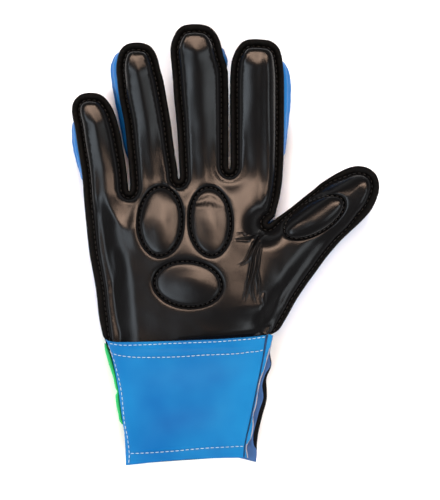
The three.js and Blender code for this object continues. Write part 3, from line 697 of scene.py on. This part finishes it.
def oval_pad(name, oval, rise):
    """A quilted oval on a polar grid: its edge turns down into the seam, its middle rises by a parabola."""
    count = 96
    wide = oval[3] / 12.7
    top = 0.82
    steps = [(-0.12, -2.5), (-0.18, -1.8), (-0.32, -1.05), (-0.55, -0.4), (-0.85, 0.0), (-1.3, 0.26),
             (-2.0, 0.42), (-3.2 * wide, 0.55), (-5.0 * wide, 0.70), (-7.2 * wide, top)]
    rings = [over_palm(oval_ring(oval, e), h) for e, h in steps]
    inner = oval_ring(oval, steps[-1][0])
    centre = inner.mean(0)
    rings += [over_palm(centre + (inner - centre) * share, rise + (top - rise) * share ** 2)
              for share in (0.8, 0.6, 0.4, 0.2)]
    verts = np.vstack([*rings, over_palm(centre[None], rise), [[*centre, rings[0][:, 2].mean()]]])
    quads = grid_quads(len(rings), count, wrap=True)
    last = (len(rings) - 1) * count + np.arange(count)
    first = np.arange(count)
    t = len(rings) * count
    tris = np.vstack([np.stack([last, np.roll(last, -1), np.full(count, t)], axis=1),
                      np.stack([np.roll(first, -1), first, np.full(count, t + 1)], axis=1)])
    return recalc(mesh_object(name + "_skin", verts, quads=quads, tris=tris, materials=[black]))


for pad_name, oval in OVALS.items():
    ride(oval_pad(pad_name, oval, 0.9 if pad_name == "thumb_pad" else 1.15), [pad_name])

# Side strips and back
bulge = np.zeros(len(line))
for stretch_name, (ys, reach) in BULGES.items():
    on = stretch == names.index(stretch_name)
    bulge[on] = np.interp(line[on, 1], ys, reach)
crotch = (stretch == 0) & (line[:, 0] < 36) & (line[:, 1] > 5)
bulge[crotch] = np.interp(line[crotch, 0], [26, 31, 35], [0.9, 0.6, 0.0])
crotch = (stretch == names.index("index_right")) & (line[:, 1] < 24)
bulge[crotch] = np.interp(line[crotch, 1], [13, 17, 22], [0.9, 0.6, 0.0])
kernel = np.hanning(9)
bulge = np.convolve(bulge, kernel / kernel.sum(), mode="same")
ripple = 0.18 * np.sin(along * 0.8 + 1.5 * np.sin(along * 0.21)) + 0.1 * np.sin(along * 2.03)


def strip_profile(part):
    """Side wall: under the rim, out over the bulge and down to the back; then the same line 2 mm further in."""
    b = bulge[part]
    r = ripple[part]
    shut = 1 - smooth(b / 1.2)
    outer = [(0.5 + 0.9 * shut, -0.15), (0.3 + 1.4 * shut - 0.42 * b, -1.0), (1.6 * shut - 0.58 * b, -2.5),
             (1.7 * shut - 0.52 * b, -3.3), (1.6 * shut - 0.90 * b, -4.2),
             (1.5 * shut - 1.0 * b, -5.6), (0.2 + 1.5 * shut - 0.9 * b, -8.6), (0.5 + 1.5 * shut - 0.6 * b, -11.1)]
    rows = [np.column_stack([o + 0.4 * r * (0 < k < len(outer) - 1), np.full(len(b), h)])
            for k, (o, h) in enumerate(outer)]
    back_rows = [np.column_stack([row[:, 0] + 2.2, row[:, 1]]) for row in rows[::-1]]
    return np.stack(rows + back_rows, axis=1)


tips = {"index": ("index_right", "index_left"), "middle": ("middle_right", "middle_left"),
        "ring": ("ring_right", "ring_left"), "little": ("little_right", "palm_side")}
cuts = [0]
thumb_on = np.where(stretch == 0)[0]
cuts.append(int(thumb_on[np.argmin(np.hypot(line[thumb_on, 0] - 91.0, line[thumb_on, 1] - 41.0))]))
for first_side, second_side in tips.values():
    cuts.append(int(np.where(stretch == names.index(second_side))[0][0]))
cuts.append(len(line) - 1)
STRIPS = ["gusset_thumb_outer", "gusset_index_thumb", "gusset_middle_index", "gusset_ring_middle",
          "gusset_little_ring", "gusset_little_outer"]
for strip_name, start, end in zip(STRIPS, cuts[:-1], cuts[1:]):
    part = np.arange(start + (2 if start else 0), end + 1)
    wall = carried(part, strip_profile(part))
    n, rows, _ = wall.shape
    caps = [np.arange(rows)[::-1], np.arange(rows) + (n - 1) * rows]
    strip = mesh_object(strip_name + "_skin", wall.reshape(-1, 3), quads=grid_quads(n, rows, wrap=True),
                        ngons=caps, materials=[side_blue])
    ride(recalc(strip), [strip_name])


def back():
    """The back: a roll from the side strips down to a flat base that lifts with the fingers."""
    n = len(line)
    outer = [(4.2, -11.4), (2.1, -11.4), (2.0, -12.4), (2.5, -14.0), (3.6, -15.6), (5.2, -16.6), (RING, -17.0)]
    profile = np.empty((n, len(outer), 2))
    for k, (inset, h) in enumerate(outer):
        profile[:, k, 0] = inset - (0.8 - 0.22 * max(k - 1, 0)) * bulge * (k > 0) * (k < 5)
        profile[:, k, 1] = h
    swept = carried(np.arange(n), profile)
    ring = np.vstack([ring_line, wrist_between()])
    points, tris = filled(ring, 3.2, margin=1.6)
    m = len(points)
    base = seam_height(points[:, 0], points[:, 1])
    under = np.column_stack([points, np.maximum(base - 17.0, 0.0)])
    over = np.column_stack([points, base - 14.0])
    rows = len(outer)
    middle = swept[:, :-1]
    index = np.empty((n, rows + 1), int)
    index[:, :-2] = 2 * m + np.arange(n * (rows - 1)).reshape(n, rows - 1)
    index[:, -2] = np.arange(n)
    index[:, -1] = m + np.arange(n)
    quads = [np.stack([index[:-1, :-2], index[1:, :-2], index[1:, 1:-1], index[:-1, 1:-1]], axis=-1)]
    quads[0] = quads[0].reshape(-1, 4)
    quads.append(np.stack([index[:-1, -1], index[1:, -1], index[1:, 0], index[:-1, 0]], axis=-1))
    edge = np.concatenate([[n - 1], np.arange(n, len(ring)), [0]])
    quads.append(np.stack([edge[:-1], edge[:-1] + m, edge[1:] + m, edge[1:]], axis=1))
    caps = [index[0], index[-1][::-1]]
    obj = mesh_object("back_skin", np.vstack([under, over, middle.reshape(-1, 3)]), quads=np.vstack(quads),
                      tris=np.vstack([tris[:, ::-1], tris + m]), ngons=caps, materials=[side_blue])
    return recalc(obj)


ride(back(), ["back_panel"])

# Cuff and strap
ROWS, AROUND = 90, 80       # the grid of the cuff's front
CUFF_LENGTH = 75


def edges_at(share):
    """The cuff's two edges at shares of its length."""
    at = np.clip(share, 0, 1) * 400
    return [np.stack([np.interp(at, np.arange(401), edge[:, k]) for k in (0, 1)], axis=-1)
            for edge in (resample(cuff_left, 401), resample(cuff_right, 401))]


def cuff_grid(share, start, end, around):
    """Grids of the shares down the cuff and of the angles round it."""
    share = np.reshape(share, (-1, 1)) * np.ones(around)
    return share, np.linspace(start, end, around)[None, :] * np.ones((len(share), 1))


def section(share, angle, offset):
    """Points round the wrist, angle 0 on the thumb's side, below pi over the palm: cosine and sine to the power
    0.8, times the half width and the height."""
    left, right = edges_at(share)
    mid, half = (left + right) / 2, (right[..., 0] - left[..., 0]) / 2 + offset
    c, s = np.cos(angle), np.sin(angle)
    across = np.sign(c) * np.abs(c) ** 0.8
    x = mid[..., 0] + half * across
    z = SEAM + np.where(s > 0, CUFF_RISE + offset, CUFF_DROP + offset) * np.sign(s) * np.abs(s) ** 0.8
    t = (across + 1) / 2
    y = left[..., 1] * (1 - t) + right[..., 1] * t
    bow = (np.interp(x, wrist[:, 0], wrist[:, 1]) - y) * (1 - smooth(share / 0.2)) * (s > 0)
    hem = 1.4 * smooth((share - 0.8) / 0.2) * (1 - across ** 2) * (s > 0)
    return np.stack([x, y + bow + hem, z], axis=-1)


def cuff_front():
    """The wrist's section over the palm, plus bell curves for the puffed band and the dents of the stitch rows,
    and products of sines for soft waves."""
    share, angle = cuff_grid(np.linspace(0, 1, ROWS), math.pi - 0.005, 0.10, AROUND)
    outer = section(share, angle, 0.0)
    along_mm = share * CUFF_LENGTH
    u = np.linspace(0, 1, AROUND)[None, :]
    flat = np.sin(np.pi * u) ** 0.5
    band_puff = 0.45 * np.exp(-((along_mm - 5.6) / 3.2) ** 2) - 0.5 * np.exp(-((along_mm - 1.6) / 0.6) ** 2) \
        - 0.5 * np.exp(-((along_mm - 9.7) / 0.6) ** 2) - 0.35 * np.exp(-((along_mm - 68.4) / 0.7) ** 2)
    wavy = 0.55 * np.sin(u * 5.2 + along_mm * 0.045) * np.sin(along_mm * 0.075 + 0.6) \
        + 0.3 * np.sin(u * 13 + 1.2 * np.sin(along_mm * 0.09)) * smooth(u * 2 - 1.0) \
        + 0.25 * np.sin(along_mm * 0.21 + u * 3)
    outer[..., 2] += (band_puff + wavy) * flat + 0.5 * np.exp(-(along_mm / 1.4) ** 2) * flat
    inner = outer.copy()
    shrink = section(share, angle, -1.8)
    inner[..., :2] = shrink[..., :2]
    inner[..., 2] = np.maximum(outer[..., 2] - 1.7, SEAM + 0.1)
    return recalc(slab("cuff_front_skin", outer, inner, cuff_blue_painted_sheen)), outer


front, front_grid = cuff_front()
ride(front, ["cuff_front"])


def ribbon(name, inner_line, outer_line, low, wave, thick, mat, count=120, across=9, swing=0.0):
    """A loose edge between two lines: straight across, with two sine waves in height that grow outwards."""
    a = resample(spline(inner_line), count)
    b = resample(spline(outer_line), count)
    t = np.linspace(0, 1, across)[None, :, None]
    xy = a[:, None, :] * (1 - t) + b[:, None, :] * t
    s = np.linspace(0, 1, count)[:, None]
    w = wave * np.sin(s * 31 + swing) * t[0, :, 0] ** 1.5 + 0.4 * wave * np.sin(s * 67 + 1.0 + swing) * t[0, :, 0]
    top = np.concatenate([xy, (low + w)[..., None]], axis=2)
    bottom = top.copy()
    bottom[..., 2] -= thick
    return recalc(slab(name, top[::-1], bottom[::-1], mat)), top


inset_right = [(x - 3.5, y) for x, y in CUFF_RIGHT]
allowance, _ = ribbon("cuff_allowance", [(x + 0.5, y) for x, y in CUFF_RIGHT], RAW_EDGE, SEAM + 1.9, 0.25,
                      1.3, cuff_blue_painted_sheen)
raw, _ = ribbon("cuff_raw_edge", [(x - 0.35, y) for x, y in RAW_EDGE], [(x + 0.35, y) for x, y in RAW_EDGE],
                SEAM + 1.95, 0.2, 1.5, raw_cloth, across=3)
facing, facing_grid = ribbon("cuff_facing_cloth", inset_right, FACING_EDGE, SEAM + 0.3, 0.7, 1.0,
                             facing_cloth, swing=0.8)
loose, loose_grid = ribbon("cuff_back_edge", inset_right, BACK_EDGE, SEAM - 1.1, 0.5, 1.2, knit, swing=1.6)
ride(allowance, [])
ride(raw, [])
ride(facing, ["cuff_facing"])
ride(loose, [])


def cuff_back():
    """The wrist's section under the palm, with a quick sine wave along it for the puckers."""
    share, angle = cuff_grid(np.linspace(0, 1, 60), math.pi + 0.02, 2 * math.pi - 0.16, 70)
    along_mm = share * CUFF_LENGTH
    outer = section(share, angle, -0.1)
    pucker = -0.35 * np.sin(along_mm * 1.15 + 0.8 * np.sin(angle * 3)) * np.sin(angle - math.pi) \
        * (1 - smooth(np.abs(along_mm - 30) / 28))
    outer[..., 2] += np.maximum(pucker, -0.3)
    inner = section(share, angle, -2.2)
    return recalc(slab("cuff_back_knit", outer, inner, knit)), outer


knit_back, knit_grid = cuff_back()
ride(knit_back, ["cuff_back"])


def strap():
    """Green webbing from the little finger's side round under the wrist, its edge showing past the cuff."""
    edge = resample(spline(STRAP_EDGE), 90)
    down = np.linspace(0, 1, 2000)
    at = np.interp(-edge[:, 1], -edges_at(down)[0][:, 1], down)
    share, angle = cuff_grid(at, math.pi + 0.01, math.pi + 2.05, 60)
    outer = section(share, angle, 2.1)
    reach = (edges_at(at)[0][:, 0] - edge[:, 0])[:, None]
    grip = np.exp(-((angle - math.pi) / 0.5) ** 2)
    outer[..., 0] -= (reach - 2.1) * grip
    outer[..., 1] = edge[:, 1:2] * grip + outer[..., 1] * (1 - grip)
    inner = section(share, angle, 0.3)
    inner[..., 0] -= (reach - 2.1) * grip * 0.4
    inner[..., 1] = outer[..., 1]
    outer[..., 2] = np.maximum(outer[..., 2], 0.3)
    return recalc(slab("wrist_strap_webbing", outer, inner, green_web)), outer


strap_piece, strap_grid = strap()
ride(strap_piece, ["wrist_strap"])


# Stitches
def stitches(name, path, mat, pitch, length, radius, sink=0.0):
    """Short threads along a path: rings of six points round an arched line, thinner at both ends."""
    s = arc_lengths(path)
    count = int(s[-1] / pitch)
    mids = (np.arange(count) + 0.5) * s[-1] / count
    sides, rings = 6, 5
    t = np.linspace(-0.5, 0.5, rings)
    bulk = np.array([0.35, 0.9, 1.0, 0.9, 0.35])
    at = (mids[:, None] + t * length).ravel()
    centre = np.stack([np.interp(at, s, path[:, k]) for k in range(3)], axis=1).reshape(count, rings, 3)
    d = centre[:, -1] - centre[:, 0]
    d /= np.linalg.norm(d, axis=1)[:, None]
    side = np.cross(d, [0, 0, 1.0])
    side /= np.linalg.norm(side, axis=1)[:, None]
    up = np.cross(side, d)
    arch = radius * 0.9 * (1 - (2 * t) ** 2) - sink
    centre = centre + up[:, None, :] * arch[None, :, None]
    w = np.linspace(0, 2 * np.pi, sides, endpoint=False)
    around = (np.cos(w)[:, None] * side[:, None, None, :]) + (np.sin(w)[:, None] * up[:, None, None, :])
    verts = centre[:, :, None, :] + around * (radius * bulk)[None, :, None, None]
    one = grid_quads(rings, sides, wrap=True)
    per = rings * sides
    quads = (one[None] + (np.arange(count) * per)[:, None, None]).reshape(-1, 4)
    caps = [np.arange(sides)[::-1], np.arange(sides) + (rings - 1) * sides]
    ngons = [c + k * per for k in range(count) for c in caps]
    return mesh_object(name, verts.reshape(-1, 3), quads=quads, ngons=ngons, materials=[mat])


groove_path = np.column_stack([band_xy[:, 5], seam_height(*band_xy[:, 5].T) + 0.75])
ride(stitches("rim_stitches", groove_path, grey_thread, PITCH, 2.3, 0.33), [])
for pad_name, oval in OVALS.items():
    r = oval_ring(oval, 0.05, 160)
    r = np.vstack([r, r[:1]])
    ride(stitches(pad_name + "_stitches", over_palm(r, -2.0), grey_thread, 2.9, 2.1, 0.32), [])


def on_front(share, u):
    """A path over the cuff's front from shares down it and across it."""
    rows = np.clip(share, 0, 1) * (ROWS - 1)
    columns = np.clip(u, 0, 1) * (AROUND - 1)
    i, j = np.minimum(rows.astype(int), ROWS - 2), np.minimum(columns.astype(int), AROUND - 2)
    a, b = (rows - i)[:, None], (columns - j)[:, None]
    g = front_grid
    p = (g[i, j] * (1 - a) + g[i + 1, j] * a) * (1 - b) + (g[i, j + 1] * (1 - a) + g[i + 1, j + 1] * a) * b
    return p + np.array([0, 0, 0.05])


def shares_of(points):
    """The shares down and across the cuff's front of places on the plan."""
    path = resample(spline(points), 240)
    flat = front_grid[..., :2].reshape(-1, 2)
    gap = np.linalg.norm(path[:, None, :] - flat[None], axis=2)
    near = np.argsort(gap, axis=1)[:, :4]
    weight = 1 / (np.take_along_axis(gap, near, axis=1) + 0.02) ** 2
    weight /= weight.sum(1)[:, None]
    row, column = near // AROUND, near % AROUND
    share, u = (row * weight).sum(1) / (ROWS - 1), (column * weight).sum(1) / (AROUND - 1)
    kernel = np.hanning(23)
    kernel /= kernel.sum()

    def calm(v):
        return np.convolve(np.pad(v, 11, mode="reflect", reflect_type="odd"), kernel, mode="valid")

    return calm(share), calm(u)


ROWS_OF_STITCHES = {
    "top_row": [(-69.5, -58.6), (-64, -59.6), (-52, -59.6), (-34.4, -58.9), (-5.3, -57.7), (14, -56.2),
                (24.2, -54.9)],
    "second_row": [(-69, -64.4), (-63, -66), (-56.2, -66.8), (-34.4, -66.8), (-12.6, -65.7), (9.3, -64.6),
                   (23, -62.8)],
    "side_row": [(-70.2, -59.7), (-68, -65), (-66, -71), (-62.4, -86.2), (-60.3, -105.9), (-58.3, -116.7),
                 (-57.4, -126), (-57.8, -131)],
    "hem_row": [(-56.9, -124.8), (-38, -123.7), (-12.6, -121.5), (11.2, -120.3)],
}
for row_name, places in ROWS_OF_STITCHES.items():
    path = on_front(*shares_of(places))
    ride(stitches("cuff_" + row_name, path, white_thread, 2.9, 2.2, 0.25, sink=0.05), [])

# Floor, light and camera
floor_mesh = bpy.data.meshes.new("floor")
floor_mesh.from_pydata([(-3, -3, 0), (3, -3, 0), (3, 3, 0), (-3, 3, 0)], [], [(0, 1, 2, 3)])
floor = placed("floor", floor_mesh)
pale = bpy.data.materials.new("pale_floor")
pale.use_nodes = True
pale.node_tree.nodes["Principled BSDF"].inputs["Base Color"].default_value = (0.93, 0.93, 0.93, 1)
pale.node_tree.nodes["Principled BSDF"].inputs["Roughness"].default_value = 0.9
floor_mesh.materials.append(pale)


# Soft panels that aim at the origin: place, size, power, colour and whether the gloss shows them
LIGHTS = {
    "warm_panel": ((0.17, 0.19, 2.6), (0.84, 0.26), 8.5, (1.0, 0.68, 0.50), True),
    "warm_tips": ((-0.05, 0.57, 2.6), (1.40, 0.48), 28, (1.0, 0.70, 0.53), True),
    "warm_front": ((0.1, 1.8, 1.3), (0.9, 0.5), 56, (1.0, 0.98, 0.96), False),
    "cool_low": ((-0.86, -0.40, 2.45), (0.95, 0.46), 6, (0.80, 0.90, 1.0), True),
    "cool_panel": ((-0.92, -0.88, 2.4), (0.74, 0.64), 3.6, (0.80, 0.90, 1.0), True),
    "cool_thumb": ((0.90, -0.80, 2.35), (0.80, 0.60), 5, (0.88, 0.95, 1.0), True),
    "left_fill": ((-2.0, -0.9, 1.0), (1.2, 0.8), 62, (0.98, 0.99, 1.0), False),
    "left_edge": ((-2.0, -0.9, 1.0), (1.2, 0.8), 26, (0.90, 0.96, 1.0), True),
    "right_fill": ((1.9, -1.2, 0.9), (1.0, 0.7), 68, (0.98, 0.99, 1.0), False),
    "right_edge": ((1.9, -1.2, 0.9), (1.0, 0.7), 12, (0.94, 0.98, 1.0), True),
}
for light_name, (place, size, power, colour, mirrored) in LIGHTS.items():
    lamp = bpy.data.lights.new(light_name, "AREA")
    lamp.shape = "RECTANGLE"
    lamp.size, lamp.size_y = size
    lamp.energy = power
    lamp.color = colour
    panel = placed(light_name, lamp)
    panel.location = place
    panel.rotation_euler = (-Vector(place)).to_track_quat("-Z", "Y").to_euler()
    panel.visible_glossy = mirrored

bpy.context.scene.view_settings.view_transform = "Standard"
world = bpy.data.worlds.new("studio")
bpy.context.scene.world = world
world.use_nodes = True
nodes, links = world.node_tree.nodes, world.node_tree.links
sky = nodes.new("ShaderNodeTexCoord")
split = nodes.new("ShaderNodeSeparateXYZ")
fade = nodes.new("ShaderNodeMapRange")
fade.inputs["From Max"].default_value = 0.65
fade.inputs["To Min"].default_value = 0.8
fade.inputs["To Max"].default_value = 0.02
links.new(sky.outputs["Generated"], split.inputs["Vector"])
links.new(split.outputs["Z"], fade.inputs["Value"])
links.new(fade.outputs["Result"], nodes["Background"].inputs["Strength"])
nodes["Background"].inputs["Color"].default_value = (0.97, 0.98, 1.0, 1)

cam_data = bpy.data.cameras.new("photo_camera")
cam_data.sensor_fit = "VERTICAL"
SENSOR, HEIGHT, LEVEL, FRAME = 24, 2.2, 0.02, 0.300     # at LEVEL over the floor, FRAME metres fill the picture
cam_data.sensor_height = SENSOR
cam_data.lens = SENSOR * (HEIGHT - LEVEL) / FRAME
cam_data.clip_end = 20
cam = placed("photo_camera", cam_data)
cam.location = (-0.003, -0.0027, HEIGHT)
bpy.context.scene.camera = cam
